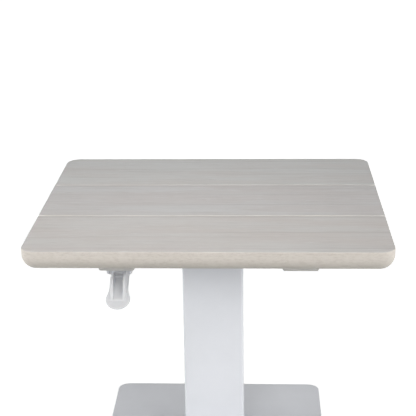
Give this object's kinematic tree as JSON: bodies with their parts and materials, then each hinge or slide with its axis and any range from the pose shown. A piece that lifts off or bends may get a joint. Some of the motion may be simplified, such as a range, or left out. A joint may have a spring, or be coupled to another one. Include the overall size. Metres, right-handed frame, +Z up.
{
  "type": "telescoping pedestal table",
  "caption": "Height-adjustable pedestal table: planked wood-look top on a white telescoping column with a flat base, raised by a gas spring and released by a squeeze lever under the top.",
  "frame": {"origin": "on the floor, under the middle of the column", "axes": "+Z up, +X to the right of a person sitting at the table's front, +Y away from that person"},
  "size_m": [0.6, 0.52, 0.49],
  "materials": {
    "grained_film": "wood-grain film pressed over a board, matt, warm grey, paler on the edge",
    "white_powder_coat": "white powder coat, satin",
    "white_plastic": "moulded white plastic, matt",
    "grey_plastic": "moulded warm grey plastic, matt",
    "glide_plastic": "moulded glide plastic, light grey",
    "black_rubber": "black rubber",
    "zinc_steel": "zinc-plated steel",
    "black_sheath": "black cable sheath",
    "chromed_rod": "hard-chromed rod",
    "black_paint": "black painted cylinder",
    "plain_aluminium": "turned aluminium"
  },
  "bodies": {
    "base": {"base_plate": "white_powder_coat", "foot_pads": "black_rubber", "foot_screws": "zinc_steel", "base_bolts": "zinc_steel", "column_foot_plate": "white_powder_coat", "outer_tube": "white_powder_coat", "upper_glide_collar": "glide_plastic", "cylinder_bolt": "zinc_steel", "cylinder_end_plug": "plain_aluminium", "gas_cylinder": "black_paint", "rod_seal": "black_rubber", "rod_guide": "plain_aluminium", "stop_sleeve": "plain_aluminium"},
    "lift": {"tabletop": "grained_film", "left_rail": "white_powder_coat", "right_rail": "white_powder_coat", "rail_end_caps": "grey_plastic", "rail_screws": "zinc_steel", "head_pan": "white_powder_coat", "pan_screws": "zinc_steel", "inner_tube": "white_powder_coat", "lower_glide_ring": "glide_plastic", "piston_rod": "chromed_rod", "piston": "plain_aluminium", "rod_nuts": "zinc_steel", "release_bracket": "zinc_steel", "release_arm_pin": "zinc_steel", "head_cable_ferrule": "zinc_steel", "release_cable": "black_sheath", "lever_cable_ferrule": "zinc_steel", "lever_bracket": "white_powder_coat", "bracket_screws": "zinc_steel", "lever_pin": "zinc_steel"},
    "lever": {"release_lever": "white_plastic"},
    "lever_wire": {"lever_wire": "zinc_steel"},
    "arm": {"release_arm": "zinc_steel"},
    "head_wire": {"head_wire": "zinc_steel"},
    "valve": {"valve_pin": "zinc_steel"}
  },
  "joints": [
    {"name": "lift_slide", "type": "slide", "parent": "base", "child": "lift", "axis": [0, 0, 1], "range_m": [0, 0.25]},
    {"name": "lever_squeeze", "type": "hinge", "parent": "lift", "child": "lever", "pos_m": [-0.15, -0.175, 0.423], "axis": [-1, 0, 0], "range_deg": [0, 25], "stiffness_Nm_per_rad": 0.6, "springref_deg": -40.11},
    {"name": "lever_wire_pull", "type": "slide", "parent": "lift", "child": "lever_wire", "axis": [0, -1, 0], "range_m": [0, 0.0049]},
    {"name": "arm_press", "type": "hinge", "parent": "lift", "child": "arm", "pos_m": [0.03, 0, 0.444], "axis": [0, -1, 0], "range_deg": [0, 2.35]},
    {"name": "head_wire_pull", "type": "slide", "parent": "lift", "child": "head_wire", "axis": [0, 0, -1], "range_m": [0, 0.0049]},
    {"name": "valve_press", "type": "slide", "parent": "lift", "child": "valve", "axis": [0, 0, -1], "range_m": [0, 0.00125]}
  ],
  "couplings": [
    {"joint": "lever_wire_pull", "follows": "lever_squeeze", "m_per_rad": 0.010913},
    {"joint": "arm_press", "follows": "lever_squeeze", "ratio": 0.090965},
    {"joint": "head_wire_pull", "follows": "lever_squeeze", "m_per_rad": 0.010913},
    {"joint": "valve_press", "follows": "lever_squeeze", "m_per_rad": 0.0027282}
  ]
}
